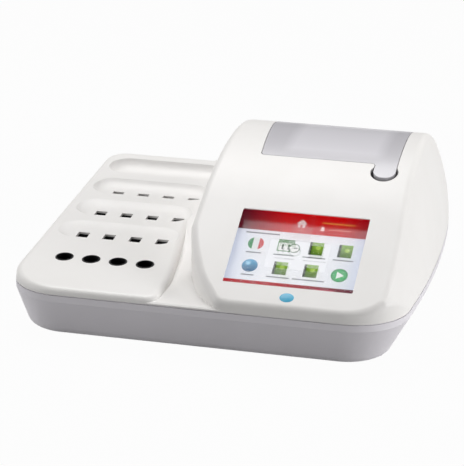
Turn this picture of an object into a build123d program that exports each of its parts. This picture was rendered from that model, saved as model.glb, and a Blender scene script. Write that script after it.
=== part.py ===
from build123d import *
from math import cos, pi, radians, sin, sqrt, tan
import os

os.makedirs("parts", exist_ok=True)

# Overall size. Origin: middle of the foot print, on the bench. +X right, +Y to the back, +Z up.
overall_width = 320.0
overall_depth = 290.0
overall_height = 130.0
half_width = overall_width / 2
front = -overall_depth / 2
back = overall_depth / 2

# Plan outline of the rim: straight left side, bowed right side, rounded corners.
front_corner = 45.0
back_left_corner = 18.0
back_right_corner = 30.0
bow_centre = -25.0
bow_radius = 1282.0

# Housing.
foot_stand_off = 1.2
seam_height = 38.0
seam_gap = 0.8
cover_wall = 3.0
shell_wall = 2.6
shell_floor = 3.0
shell_lip_bottom = 32.0
shell_bottom_inset = 11.0
shell_side_inset = 6.0
shell_bottom_round = 9.0
tongue_inset = 1.2
side_draft = 5.0
hood_draft = 3.3
front_draft = 3.0
back_draft = 20.0
build_low = -20.0
build_high = 150.0

# Sloping deck.
deck_slope = 5.79
deck_ref_y = -87.8
deck_ref_z = 49.1
deck_edge_round = 5.0
deck_corner = 10.0

# Hood.
face_slope = 31.0
lip_height = 46.4
face_top_y = -55.0
crown_radius = 123.0
crown_end = 19.5
hood_edge_round = 6.5
hood_left = -25.0
hood_corner_end = 24.0
flare = 18.0
flare_foot = 40.5
flare_swell = 0.75

# Valley between deck and hood.
valley_front_z = 40.0
valley_back_z = 42.0
valley_ramp_start = -62.0
valley_ramp_end = 12.0
valley_drop = 0.3
valley_left = -60.0
valley_right = 40.0

# Incubation wells and reading cells.
column_count = 4
column_pitch = 22.5
first_column = -126.0
row_spacing = 46.75
first_row_y = -41.05
first_lip_y = -49.5
lip_spacing = 45.6
trough_depths = (1.6, 3.0, 5.0, 7.9)
trough_width = 33.0
trough_left = -149.0
trough_right_ends = (-47.0, -48.0, -46.0, -46.0)
trough_floor_width = 17.0
trough_floor_margin = 1.4
trough_left_inset = 14.0
trough_right_inset = 5.0
trough_hollow = 0.62
trough_floor_wall = 2.0
well_side = 9.4
well_depth = 25.0
well_gap = 0.3
reading_row_y = deck_ref_y
collar_outer = 14.8
collar_bore = 12.4
collar_rise = 0.4
collar_chamfer = 0.3
cell_bore = 11.0
cell_depth = 24.0

# Screen.
screen_x = 66.5
screen_y = -95.5
window_width = 102.0
window_height = 75.0
window_round = 1.0
glass_width = 110.0
glass_height = 83.0
glass_thickness = 1.8
glass_setback = 1.0
panel_thickness = 4.2
bracket_width = 112.0
bracket_height = 101.0
bracket_sheet = 1.2
bracket_post_x = 50.0
bracket_post_y = 46.5
bracket_post = 7.0
bracket_corner = 3.0
bracket_opening = (24.0, 14.0)
bracket_screw = 4.5
rib_x = 30.8
rib_half = 1.0
rib_reach = 35.35
rib_height = 3.0
glass_corner = 1.0
panel_chamfer = 0.6

# Lid over the printer.
lid_wall = 2.5
lid_gap = 0.5
lid_front = -3.7
lid_left_front = 15.0
lid_left_back = 6.5
lid_right_front = 127.5
lid_right_back = 124.0
lid_hinge_y = 88.0
lid_hinge_depth = 6.5
lid_cheek = 4.0
cheek_set_in = 1.0
cheek_set_down = 0.05
nose_lap = 0.01
lid_tab_width = 18.0
lid_tab_reach = 17.5
lid_corner = 3.0
lid_back_corner = 0.5
scoop_reach = 4.5
scoop_depth = 11.0
pin_diameter = 3.0
pin_length = 9.0
pin_clearance = 0.05
pin_seat = 0.02

# Printer bay, mechanism and paper.
bay_left = 36.0
bay_right = 109.0
bay_front = 2.0
bay_back = 80.0
bay_floor = 72.0
bay_wall = 2.0
bay_flange = 3.5
ledge_setback = 2.8
ledge_thickness = 3.0
hinge_relief = 7.0
roll_y = 54.0
roll_z = 99.0
roll_diameter = 44.0
roll_width = 57.5
roll_core = 13.0
journal_diameter = 6.0
journal_length = 70.0
roll_side_play = 0.5
platen_y = 15.0
platen_z = 111.0
platen_diameter = 11.0
platen_length = 58.0
platen_shaft = 4.0
platen_shaft_end = 1.5
cheek_offset = 3.75
cheek_half_depth = 9.0
cheek_top = 6.0
cheek_thickness = 2.0
cheek_foot = 0.5
journal_notch = 6.1
ear_half_depth = 6.0
ear_drop = 7.0
ear_side_wall = 2.0
hinge_shell_reach = 20.0
frame_sheet = 2.0
frame_span = 63.0
frame_back = 29.0
frame_front_gap = 3.0
frame_top = 119.0
frame_corner = 4.0
frame_rear_top = 75.0
head_gap = 0.3
head_plate = 2.5
head_low = 9.0
head_high = 4.0
head_body = (2.0, 2.4, 6.0, 8.0, 1.0)

# Wheel train of the printer: platen, idler and pinion.
idler_y = 19.0
idler_z = 97.06
pinion_z = 85.56
platen_gear_radius = 6.45
idler_radius = 7.95
pinion_radius = 3.45
platen_teeth = 26
idler_teeth = 32
pinion_teeth = 14
tooth_depth = 0.9
gear_width = 3.0
gear_x = 104.5
idler_stud = 3.0
stud_overhang = 0.8
pinion_shaft = 2.0
pinion_shaft_length = 13.0
pinion_shaft_lap = 1.0
motor_length = 18.0
motor_diameter = 20.0
motor_round = 1.0
motor_boss = 3.0

# Screws, feet, clearances.
screw_shank = 3.0
screw_head = 5.6
screw_head_height = 2.6
screw_length = 20.0
screw_clearance = 0.05
screw_head_round = 0.9
screw_slot = (3.4, 0.8, 1.6)
boss_diameter = 9.0
shell_boss_diameter = 10.0
shell_boss_top = 24.0
counterbore = 7.0
counterbore_top = 12.0
foot_diameter = 16.0
foot_recess = 1.5
foot_chamfer = 0.8
seat_gap = 0.2
joined = 0.1
over = 1.0

# Boards and back panel.
panel_y = 130.0
panel_wall = 2.0
recess_left = 22.0
recess_right = 112.0
recess_bottom = 7.5
recess_top = 31.5
vent_count = 7
vent_first_x = -24.0
vent_pitch = 8.0
vent_width = 3.0
vent_front = -40.0
vent_back = 20.0
vent_round = 1.4
board_sheet = 1.6
board_corner = 2.0
board_post = 7.0
board_screw_reach = 6.0
board_height = 13.5
main_board = (14.0, 128.0, -78.0, 52.0)
power_board = (16.0, 88.0, 66.0, 125.0)
board_inset = 5.0

# Parts on the boards: middle x, middle y, width, depth and height over the board.
processor_parts = (
    (70, -10, 30, 30, 1.6), (70, -10, 26, 26, 7), (36, -8, 12, 18, 1.4), (36, 16, 12, 18, 1.4),
    (104, -30, 14, 14, 1.8), (104, -4, 20, 8, 2), (60, -68, 44, 6, 6), (24, 30, 6, 24, 7), (90, 40, 26, 7, 8),
)
cooler_slots = 5
cooler_slot_pitch = 4.4
cooler_slot_width = 2.4
cooler_slot_left = 60.0
cooler_slot_ends = (-24.0, 4.0)
cooler_slot_floor = 19.0
cell_place = (112.0, 24.0)
cell_diameter = 21.0
cell_height = 4.2
can_places = ((44, 34), (52, 34), (60, 34))
can_diameter = 6.3
can_height = 8.0
supply_parts = (
    (36, 94, 14, 14, 8), (58, 91, 18, 9, 14), (79, 96, 4, 22, 12), (76, 76, 6, 10, 7), (64, 102, 8, 8, 3),
)
big_can_places = ((32, 76), (48, 76), (64, 76))
big_can_diameter = 8.0
big_can_height = 14.0

# Heated wells and optical reader below the deck.
block_left = -137.0
block_right = -47.0
block_slab_top = -37.0
block_slab_bottom = -43.0
bar_inset = 3.0
bar_half = 7.6
block_post_x = (-132.5, -50.5)
block_post_y = (-14.0, 75.5)
block_end_margin = 11.0
block_screw_reach = 7.0
block_screw_hole = 9.0
block_post = 8.0
pad_sheet = 1.5
pad_margin = 10.0
pad_end_margin = 4.0
reader_half = 11.0
reader_top = -4.1
reader_height = 28.0
reader_post_x = (-133.0, -51.0)
beam_drop = 14.0
beam_bore = 5.0
reader_post = 7.0
reader_board_inset = 2.0
reader_board_half = 9.0
lamp_play = 0.3
lamp_reach = 5.0
sensor_reach = 2.5
reader_plug = (-100.0, -88.0, 5.0, 3.0)
reader_chips = (-115.0, -92.0, -69.0)
reader_chip = (3.0, 1.5, 2.5)

# Sockets and mains switch in the back panel.
switch_x = 98.0
switch_z = 19.5
switch_width = 13.0
switch_height = 19.0
switch_bezel = 1.0
bezel_rim = 1.0
bezel_chamfer = 0.4
switch_depth = 14.0
switch_wall = 1.5
switch_hollow = 8.0
switch_play = 0.1
blade_left = -3.0
blade_sheet = 0.8
blade_reach = 20.0
blade_ends = ((-5.0, -1.0), (1.0, 5.0))
rocker_angle = 7.0
rocker_set_back = 1.0
rocker_side_gap = 1.9
rocker_end_gap = 2.1
rocker_crest = 2.6
rocker_dip = 1.6
rocker_root = -3.0
rocker_belly = -4.2
rocker_taper = 1.0
inlet_x = 36.0
inlet_z = 21.0
inlet_bore = 6.4
inlet_half = 4.5
inlet_hole = 10.0
inlet_pin = 2.0
inlet_pin_end = 2.0
socket_depth = 14.0
socket_set_back = 0.4
socket_play = 0.1
usb_x = (54.0, 71.5)
usb_width = 13.2
usb_height = 6.0
usb_sheet = 0.5
usb_hollow = 10.0
usb_tongue = (5.2, 10.5, 1.5, 1.2, 2.9)

screw_places = ((-134, -112), (-44, -124), (134, -112), (-134, 122), (-34, 122), (126, 116))
foot_places = ((-116, -110), (116, -110), (-116, 108), (110, 106))


# Derived values.
face_tan = tan(radians(face_slope))
back_tan = tan(radians(back_draft))
face_top_z = lip_height + (face_top_y - front) * face_tan
brow_radius = (overall_height - face_top_z) / (1 - cos(radians(face_slope)))
crown_y = face_top_y + brow_radius * sin(radians(face_slope))
crown_end_y = crown_y + crown_radius * sin(radians(crown_end))
crown_end_z = overall_height - crown_radius * (1 - cos(radians(crown_end)))
nape_end = 90 - back_draft
nape_radius = (back - crown_end_y - (crown_end_z - seam_height) * back_tan) / (
    (sin(radians(nape_end)) - sin(radians(crown_end)))
    - (cos(radians(crown_end)) - cos(radians(nape_end))) * back_tan
)


def deck_z(y):
    return deck_ref_z + (y - deck_ref_y) * tan(radians(deck_slope))


def face_z(y):
    return lip_height + (y - front) * face_tan


def crown_z(y):
    radius = brow_radius if y < crown_y else crown_radius
    return overall_height - radius + sqrt(radius**2 - (y - crown_y) ** 2)


def well_row_y(row):
    return first_row_y + row * row_spacing


def column_x(column):
    return first_column + column * column_pitch


def box_between(x0, x1, y0, y1, z0, z1):
    solid = Box(x1 - x0, y1 - y0, z1 - z0)
    return solid.moved(Location(((x0 + x1) / 2, (y0 + y1) / 2, (z0 + z1) / 2)))


def post(x, y, z0, z1, diameter):
    return Cylinder(diameter / 2, z1 - z0).moved(Location((x, y, (z0 + z1) / 2)))


def rod_x(x0, x1, y, z, diameter):
    return Cylinder(diameter / 2, x1 - x0).moved(Location(((x0 + x1) / 2, y, z), (0, 90, 0)))


def rod_y(x, z, y0, y1, diameter):
    rod = Cylinder(diameter / 2, y1 - y0).moved(Location((0, 0, 0), (90, 0, 0)))
    return rod.moved(Location((x, (y0 + y1) / 2, z)))


def all_of(shapes):
    total = Part()
    for shape in shapes:
        total += shape
    return total


def rim_face(z, grow=0.0, left=0.0, front_in=0.0, back_in=0.0, right=0.0):
    right_x = half_width + grow - right
    left_x = -half_width + left - grow
    front_y = front + front_in - grow
    back_y = back - back_in + grow

    def right_side(y):
        return right_x - (bow_radius - sqrt(bow_radius**2 - (y - bow_centre) ** 2))

    corners = (
        ((left_x, front_y), front_corner),
        ((right_side(front_y), front_y), front_corner),
        ((left_x, back_y), back_left_corner),
        ((right_side(back_y), back_y), back_right_corner),
    )
    with BuildSketch(Plane.XY.offset(z)) as sketch:
        with BuildLine():
            Polyline(
                (right_side(back_y), back_y), (left_x, back_y), (left_x, front_y), (right_side(front_y), front_y)
            )
            ThreePointArc((right_side(front_y), front_y), (right_x, bow_centre), (right_side(back_y), back_y))
        make_face()
        for (x, y), radius in corners:
            fillet(sketch.vertices().sort_by_distance((x, y, z))[0], radius + grow)
    return sketch.sketch.face()


def rim_prism(grow=0.0):
    return extrude(rim_face(build_low, grow), build_high - build_low, (0, 0, 1))


def drafted_rim(grow=0.0):
    def at(z):
        rise = z - seam_height
        return rim_face(
            z, grow, left=rise * tan(radians(side_draft)), front_in=rise * tan(radians(front_draft)),
            back_in=rise * back_tan,
        )

    return loft([at(build_low), at(build_high * 0.8)], ruled=True)


def section(edges):
    return Face(Wire(edges))


def line_yz(a, b):
    return Line((0, *a), (0, *b))


def across(face, x0, x1):
    return extrude(face, x1 - x0, (1, 0, 0)).moved(Location((x0, 0, 0)))


def crown_arc(centre, radius, start, end):
    def at(angle):
        return (0, centre[0] + radius * sin(radians(angle)), centre[1] + radius * cos(radians(angle)))

    return ThreePointArc(at(start), at((start + end) / 2), at(end))


def hood_section(skin=0.0):
    """Side profile of the hood: screen facet, brow, crown, nape and sloping back."""
    brow_centre = (crown_y, overall_height - brow_radius)
    crown_centre = (crown_y, overall_height - crown_radius)
    nape_centre = (
        crown_end_y - nape_radius * sin(radians(crown_end)), crown_end_z - nape_radius * cos(radians(crown_end)),
    )
    front_y = front + skin
    lip = (front_y, lip_height + skin * face_tan - skin / cos(radians(face_slope)))
    brow = (
        brow_centre[0] - (brow_radius - skin) * sin(radians(face_slope)),
        brow_centre[1] + (brow_radius - skin) * cos(radians(face_slope)),
    )
    nape = (
        nape_centre[0] + (nape_radius - skin) * sin(radians(nape_end)),
        nape_centre[1] + (nape_radius - skin) * cos(radians(nape_end)),
    )
    heel = (nape[0] + (nape[1] - build_low) * back_tan, build_low)
    return section([
        line_yz((front_y, build_low), lip),
        line_yz(lip, brow),
        crown_arc(brow_centre, brow_radius - skin, -face_slope, 0),
        crown_arc(crown_centre, crown_radius - skin, 0, crown_end),
        crown_arc(nape_centre, nape_radius - skin, crown_end, nape_end),
        line_yz(nape, heel),
        line_yz(heel, (front_y, build_low)),
    ])


def under_hood(skin, x0=-half_width, x1=half_width):
    return across(hood_section(skin), x0, x1)


def hood_plan(skin=0.0):
    """Plan of the hood: only its left side and front left corner shape it."""
    far = overall_width
    with BuildSketch(Plane.XY.offset(build_low)) as sketch:
        with BuildLine():
            Line((hood_left + skin, far), (hood_left + skin, -62))
            Spline(
                (hood_left + skin, -62), (hood_left + 4.5 + skin, -86), (hood_left + 11.5 + skin, -104),
                (hood_left + 22 + skin * 0.8, -124 + skin * 0.4), (hood_left + 33 + skin * 0.6, -137.5 + skin * 0.8),
                (hood_corner_end + skin, front + skin), tangents=((0, -1), (1, 0)),
            )
            Line((hood_corner_end + skin, front + skin), (far, front + skin))
            Line((far, front + skin), (far, far))
            Line((far, far), (hood_left + skin, far))
        make_face()
    return extrude(sketch.sketch.face(), build_high - build_low, (0, 0, 1))


def side_trim(skin=0.0):
    """Solid outside the swelling right side wall, bounded by one bi-quadratic patch."""
    y_ends = (-190.0, 190.0)
    t_ends = (-0.16, 1.9)
    ridge_y, ridge_fall = 60.0, 0.002
    grid = []
    for ya, yb in ((y_ends[0], y_ends[0]), y_ends, (y_ends[1], y_ends[1])):
        row = []
        for ta, tb in ((t_ends[0], t_ends[0]), t_ends, (t_ends[1], t_ends[1])):
            mean_t = (ta + tb) / 2
            bow = (ya - bow_centre) * (yb - bow_centre) / (2 * bow_radius)
            lean = flare * ((1 - flare_swell) * mean_t + flare_swell * ta * tb)
            top = overall_height - ridge_fall * (ya - ridge_y) * (yb - ridge_y)
            row.append(Vector(
                half_width - skin - bow - lean, (ya + yb) / 2, flare_foot + mean_t * (top - flare_foot)
            ))
        grid.append(row)
    return Solid.extrude(Face.make_bezier_surface(grid), Vector(half_width, 0, 0))


def hood_body(skin=0.0):
    body = under_hood(skin, hood_left - 20, half_width + 5)
    body = body & hood_plan(skin) & rim_prism(-skin) & drafted_left(skin)
    return Part() + (body - side_trim(skin))


def drafted_left(skin=0.0):
    """Everything right of the hood's left wall, which leans inwards above the valley floor."""
    wall_x = hood_left + skin / cos(radians(hood_draft))
    lean = (build_high - valley_back_z) * tan(radians(hood_draft))
    far = overall_width
    profile = [(wall_x, valley_back_z), (wall_x + lean, build_high), (far, build_high), (far, build_low),
               (wall_x - 10, build_low), (wall_x - 10, valley_back_z)]
    points = [(x, -far, z) for x, z in profile]
    return extrude(Face(Wire(Polyline(*points, close=True))), 2 * far, (0, 1, 0))


def rounded_hood():
    """Hood with the same soft round on shoulder, lip, right crease and corners."""
    body = hood_body()
    edges = []
    for edge in body.edges():
        box = edge.bounding_box()
        level_seam = box.size.X > overall_width / 4 and box.size.Y < seat_gap and box.min.Z > lip_height + seat_gap
        upright = box.size.X < seat_gap and box.size.Y < seat_gap
        corner_crease = box.max.Y < face_top_y and box.size.X < 2 * cover_wall and box.min.Z < lip_height - 1
        in_valley = box.max.Z < lip_height - 1 or corner_crease
        if not (level_seam or upright or in_valley) and box.min.Y < back - seat_gap:
            edges.append(edge)
    return fillet(edges, hood_edge_round)


def deck_plan(skin=0.0):
    far = overall_width
    points = [(-32.5, -125), (-33.2, -100), (-37.6, -70), (-43.2, -32), (-46.4, -6), (-48.6, 22), (-49.4, 50)]
    points = [(x - skin, y) for x, y in points]
    corner = (-32.5 - skin, front + skin * 0)
    with BuildSketch(Plane.XY.offset(build_low)) as sketch:
        with BuildLine():
            Line((-far, -far), (-32.5 - skin, -far))
            Line((-32.5 - skin, -far), points[0])
            Spline(*points, tangents=((0, 1), (0, 1)))
            Polyline(points[-1], (points[-1][0], far), (-far, far), (-far, -far))
        make_face()
    return extrude(sketch.sketch.face(), build_high - build_low, (0, 0, 1))


def deck_section(skin=0.0):
    drop = skin / cos(radians(deck_slope))
    y0, y1 = front - 20, back + 20
    return section([
        line_yz((y0, build_low), (y0, deck_z(y0) - drop)),
        line_yz((y0, deck_z(y0) - drop), (y1, deck_z(y1) - drop)),
        line_yz((y1, deck_z(y1) - drop), (y1, build_low)),
        line_yz((y1, build_low), (y0, build_low)),
    ])


def deck_body(skin=0.0):
    body = across(deck_section(skin), -half_width - 5, 0)
    return Part() + (body & drafted_rim(-skin) & deck_plan(skin))


def rounded_deck():
    body = deck_body()
    upright = [e for e in body.edges() if e.length > 40 and abs(e.center().X + 32.5) < 1 and e.center().Y < front + 3
               and e.bounding_box().size.Z > 40]
    body = fillet(upright, deck_corner)
    top = body.faces().filter_by(lambda f: abs(f.normal_at().Z - cos(radians(deck_slope))) < 1e-3).sort_by(SortBy.AREA)[-1]
    edges = [e for e in top.edges() if e.center().X < -12]
    return fillet(edges, deck_edge_round)


def tray_body(skin=0.0):
    """Valley floor in front, rising to the deck where the hood meets it."""
    low_y = front + skin if skin == 0 else valley_ramp_start + 4
    end_z = deck_z(valley_ramp_end) - valley_drop - skin
    inner_end = back + skin + 1
    floor_front = valley_front_z + (valley_back_z - valley_front_z) * (low_y - front) / (valley_ramp_start - front)
    edges = [
        line_yz((low_y, build_low), (low_y, floor_front - skin - 1)),
        line_yz((low_y, floor_front - skin - 1), (low_y + 1.5, floor_front - skin)),
        line_yz((low_y + 1.5, floor_front - skin), (max(valley_ramp_start, low_y + 2), valley_back_z - skin)),
        Spline((0, max(valley_ramp_start, low_y + 2), valley_back_z - skin), (0, valley_ramp_end, end_z),
               tangents=((0, 1, 0.02), (0, 1, tan(radians(deck_slope))))),
        line_yz((valley_ramp_end, end_z), (inner_end, deck_z(inner_end) - valley_drop - skin)),
        line_yz((inner_end, deck_z(inner_end) - valley_drop - skin), (inner_end, build_low)),
        line_yz((inner_end, build_low), (low_y, build_low)),
    ]
    body = across(section(edges), valley_left, valley_right)
    return Part() + (body & drafted_rim(-skin))


def deck_plane():
    tilt = radians(deck_slope)
    return Plane(origin=(0, 0, deck_z(0)), x_dir=(1, 0, 0), z_dir=(0, -sin(tilt), cos(tilt)))


def on_deck(shape):
    return shape.moved(deck_plane().location)


def along_deck(y):
    return y / cos(radians(deck_slope))


def screen_plane():
    tilt = radians(face_slope)
    return Plane(origin=(screen_x, screen_y, face_z(screen_y)), x_dir=(1, 0, 0), z_dir=(0, -sin(tilt), cos(tilt)))


def on_screen(shape):
    return shape.moved(screen_plane().location)


def hinge_angle():
    reach = crown_radius - lid_hinge_depth
    return (lid_hinge_y - crown_y) / reach


def hinge_point():
    reach = crown_radius - lid_hinge_depth
    return lid_hinge_y, overall_height - crown_radius + reach * sqrt(1 - hinge_angle() ** 2)


def hinge_plane():
    lean = hinge_angle()
    y, z = hinge_point()
    return Plane(origin=(0, y, z), x_dir=(1, 0, 0), z_dir=(0, lean, sqrt(1 - lean**2)))


def slot_face(x0, x1, y0, y1, w):
    sketch = Plane.XY.offset(w) * Pos((x0 + x1) / 2, (y0 + y1) / 2) * SlotOverall(x1 - x0, y1 - y0)
    return sketch.face()


def trough_lip(row):
    return along_deck(first_lip_y + row * lip_spacing)


def trough(row):
    """Scoop around one row of wells: steep front lip, hollow left end, soft back."""
    lip = trough_lip(row)
    depth = trough_depths[row]
    floor_y = lip + trough_floor_margin

    def level(share, w):
        """Stadium between the rim (share 0) and the floor (share 1)."""
        y0 = lip + (floor_y - lip) * share
        y1 = lip + trough_width + (floor_y + trough_floor_width - lip - trough_width) * share
        x0 = trough_left + trough_left_inset * share
        x1 = trough_right_ends[row] - trough_right_inset * share
        return slot_face(x0, x1, y0, y1, w)

    rim = level(0, 0)
    scoop_wall = loft([level(1, -depth), level(trough_hollow / 2, -depth * trough_hollow), rim])
    return on_deck(scoop_wall + extrude(rim, depth, (0, 0, 1)))


def trough_pan(row):
    lip = trough_lip(row)
    rim = trough_floor_wall
    depth = trough_depths[row] + trough_floor_wall
    face = slot_face(
        trough_left - rim, trough_right_ends[row] + rim, lip - rim, lip + trough_width + rim, -depth
    )
    return on_deck(extrude(face, depth - cover_wall / 2, (0, 0, 1)))


def well_top(row):
    return -(trough_depths[row] + trough_floor_wall + seat_gap)


def wells(row, side, w0, w1):
    holes = []
    for column in range(column_count):
        x, y = column_x(column), along_deck(well_row_y(row))
        holes.append(on_deck(box_between(x - side / 2, x + side / 2, y - side / 2, y + side / 2, w0, w1)))
    return all_of(holes)


def reading_rods(diameter, w0, w1):
    return all_of([
        on_deck(post(column_x(column), along_deck(reading_row_y), w0, w1, diameter))
        for column in range(column_count)
    ])


def lid_plan(gap=0.0):
    back_y = lid_hinge_y + lid_hinge_depth
    tab_left = lid_right_front - lid_tab_width
    tab_front = lid_front - lid_tab_reach
    points = [
        (lid_left_front, lid_front), (tab_left, lid_front), (tab_left, tab_front), (lid_right_front, tab_front),
        (lid_right_back, back_y), (lid_left_back, back_y),
    ]
    radii = [lid_corner, lid_corner, lid_tab_width * 0.45, lid_tab_width * 0.45, lid_back_corner, lid_back_corner]
    with BuildSketch() as sketch:
        with BuildLine():
            Polyline(*points, close=True)
        make_face()
        for point, radius in zip(points, radii):
            fillet(sketch.vertices().sort_by_distance(point)[0], radius)
        if gap:
            offset(amount=gap)
    return sketch.sketch


def lid_prism(gap=0.0):
    return extrude(lid_plan(gap), build_high).moved(Location((0, 0, bay_floor)))


def lid_ends(gap=0.0):
    return lid_left_back - gap, lid_right_back + gap


def hinge_rod(x0, x1, radius):
    y, z = hinge_point()
    return rod_x(x0, x1, y, z, radius * 2)


def hinge_box(x0, x1, y0, y1, z0, z1):
    return box_between(x0, x1, y0, y1, z0, z1).moved(hinge_plane().location)


def scoop_place():
    y = lid_front - lid_tab_reach + lid_tab_width / 2 - scoop_reach / 2
    return lid_right_front - lid_tab_width / 2, y, lid_tab_width / 2 + scoop_reach / 2


def scoop():
    """Finger hollow under and in front of the lid's tab."""
    x, y, radius = scoop_place()
    top = crown_z(y)
    return post(x, y, top - scoop_depth, top + scoop_depth, radius * 2)


def face_posts():
    return [(sx * bracket_post_x, sy * bracket_post_y) for sx in (-1, 1) for sy in (-1, 1)]


def bracket_face():
    return -(glass_setback + glass_thickness + panel_thickness)


def upper_cover():
    outer = rounded_hood() + rounded_deck() + tray_body()
    above_seam = box_between(-half_width * 2, half_width * 2, front * 2, back * 2, seam_height, build_high)
    cavity = hood_body(cover_wall) + deck_body(cover_wall) + tray_body(cover_wall)
    cover = Part() + ((outer & above_seam) - cavity)
    pans = all_of([trough_pan(row) for row in range(len(trough_depths))])
    cover += pans & outer
    for x, y in screw_places:
        cover += post(x, y, shell_boss_top, build_high, boss_diameter) & outer
    for row in range(len(trough_depths)):
        cover -= trough(row)
        cover -= wells(row, well_side + seat_gap, -trough_depths[row] - 2 * trough_floor_wall, 1)
    cover -= reading_rods(collar_outer + seat_gap / 2, -2 * cover_wall, 2 * cover_wall)
    for x, y in face_posts():
        cover += on_screen(post(x, y, bracket_face(), -cover_wall / 2, bracket_post))
    window = Box(window_width, window_height, 4 * cover_wall)
    cover -= on_screen(fillet(window.edges().filter_by(Axis.Z), window_round))
    pocket_w, pocket_h = glass_width + 2 * well_gap, glass_height + 2 * well_gap
    cover -= on_screen(box_between(
        -pocket_w / 2, pocket_w / 2, -pocket_h / 2, pocket_h / 2, bracket_face() - cover_wall, -glass_setback
    ))
    for x, y in face_posts():
        cover -= on_screen(post(x, y, bracket_face() - 1, -cover_wall, screw_shank + 2 * screw_clearance))
    cover -= lid_prism(lid_gap)
    cover -= scoop()
    for x, y in screw_places:
        top = shell_boss_top + screw_length - (shell_boss_top - counterbore_top) + 1
        cover -= post(x, y, shell_boss_top - 1, top, screw_shank + 2 * screw_clearance)
    return cover


def shell_solid(skin, floor_z):
    top_z = seam_height - seam_gap
    fall = (shell_lip_bottom - floor_z) / (shell_lip_bottom - foot_stand_off)
    floor_in = shell_bottom_inset * fall
    side_in = shell_side_inset * fall
    upper = extrude(rim_face(shell_lip_bottom, -skin), top_z - shell_lip_bottom, (0, 0, 1))
    lower = loft([rim_face(shell_lip_bottom, -skin), rim_face(floor_z, -skin - floor_in, right=side_in)], ruled=True)
    return upper, lower


def below_deck(w):
    far = overall_width
    return on_deck(box_between(-far, far, -far, far, -far, w))


def board_corners(board):
    x0, x1, y0, y1 = board
    return [(x, y) for x in (x0 + board_inset, x1 - board_inset) for y in (y0 + board_inset, y1 - board_inset)]


def lower_shell():
    top_z = seam_height - seam_gap
    floor_z = foot_stand_off + shell_floor
    upper, lower = shell_solid(0, foot_stand_off)
    bottom_edges = lower.edges().filter_by(lambda e: e.bounding_box().max.Z < foot_stand_off + seat_gap)
    outer = upper + fillet(bottom_edges, shell_bottom_round)
    inner_upper, inner_lower = shell_solid(shell_wall, floor_z)
    inner_top = extrude(rim_face(top_z, -shell_wall), shell_wall, (0, 0, 1))
    shell = outer - (inner_upper + inner_lower + inner_top)
    ring = extrude(rim_face(top_z - over, -tongue_inset), seam_gap + over, (0, 0, 1))
    ring -= extrude(rim_face(top_z - 2 * over, -shell_wall), shell_wall + 2 * over, (0, 0, 1))
    shell += ring
    recess_block = box_between(
        recess_left - panel_wall, recess_right + panel_wall, panel_y - panel_wall, back, floor_z - over,
        recess_top + panel_wall,
    )
    shell += recess_block & outer
    shell -= box_between(recess_left, recess_right, panel_y, back + over, recess_bottom, recess_top)
    for x, y in screw_places:
        shell += post(x, y, floor_z - over, shell_boss_top, shell_boss_diameter)
    for board in (main_board, power_board):
        for x, y in board_corners(board):
            shell += post(x, y, floor_z - over, board_height, board_post)
    low = below_deck(block_slab_bottom)
    for x in block_post_x:
        for y in block_post_y:
            shell += post(x, y, floor_z - over, build_high / 2, block_post) & low
    low = below_deck(reader_top - reader_height)
    for x in reader_post_x:
        shell += post(x, reading_row_y, floor_z - over, build_high / 2, reader_post) & low
    hole = screw_shank + 2 * screw_clearance
    for x, y in screw_places:
        shell -= post(x, y, 0, counterbore_top, counterbore) + post(x, y, 0, build_high / 2, hole)
    for board in (main_board, power_board):
        for x, y in board_corners(board):
            shell -= post(x, y, floor_z, board_height + over, hole)
    for x in block_post_x:
        for y in block_post_y:
            shell -= on_deck(post(
                x, along_deck(y), block_slab_bottom - block_screw_hole, block_slab_bottom + over, hole
            ))
    for x, y in foot_places:
        shell -= post(x, y, 0, foot_stand_off + foot_recess, foot_diameter + seat_gap)
    for index in range(vent_count):
        x = vent_first_x + index * vent_pitch
        slot = box_between(x, x + vent_width, vent_front, vent_back, 0, floor_z + over)
        shell -= fillet(slot.edges().filter_by(Axis.Z), vent_round)
    wall = (panel_y - panel_wall - over, panel_y + over)
    shell -= box_between(
        switch_x - switch_width / 2, switch_x + switch_width / 2, *wall, switch_z - switch_height / 2,
        switch_z + switch_height / 2,
    )
    z = board_height + board_sheet
    reach = inlet_half + socket_play
    shell -= box_between(inlet_x - reach, inlet_x + reach, *wall, z - socket_play, inlet_z + reach)
    reach = usb_width / 2 + socket_play
    for x in usb_x:
        shell -= box_between(x - reach, x + reach, *wall, z, z + usb_height + 2 * socket_play)
    return shell


def rubber_feet():
    foot = Cylinder(foot_diameter / 2, foot_stand_off + foot_recess)
    foot = chamfer(foot.edges().group_by(Axis.Z)[0], foot_chamfer)
    return all_of([foot.moved(Location((x, y, (foot_stand_off + foot_recess) / 2))) for x, y in foot_places])


def screw(length, shank=screw_shank):
    """Pan-head screw along +Z, its head's seat at the origin."""
    body = Cylinder(shank / 2, length).moved(Location((0, 0, length / 2)))
    head = Cylinder(screw_head / 2, screw_head_height).moved(Location((0, 0, -screw_head_height / 2)))
    head = fillet(head.edges().group_by(Axis.Z)[0], screw_head_round)
    slot_length, slot_width, slot_depth = screw_slot
    slot = Box(slot_length, slot_width, slot_depth) + Box(slot_width, slot_length, slot_depth)
    return body + head - slot.moved(Location((0, 0, -screw_head_height)))


def shell_screws():
    return all_of([screw(screw_length).moved(Location((x, y, counterbore_top))) for x, y in screw_places])


def heater_plate():
    y0 = along_deck(well_row_y(0)) - block_end_margin
    y1 = along_deck(well_row_y(len(trough_depths) - 1)) + block_end_margin
    plate = on_deck(box_between(block_left, block_right, y0, y1, block_slab_bottom, block_slab_top))
    for x in block_post_x:
        for y in block_post_y:
            plate -= on_deck(post(
                x, along_deck(y), block_slab_bottom - over, block_slab_top + over,
                screw_shank + 2 * screw_clearance
            ))
    return plate


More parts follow.
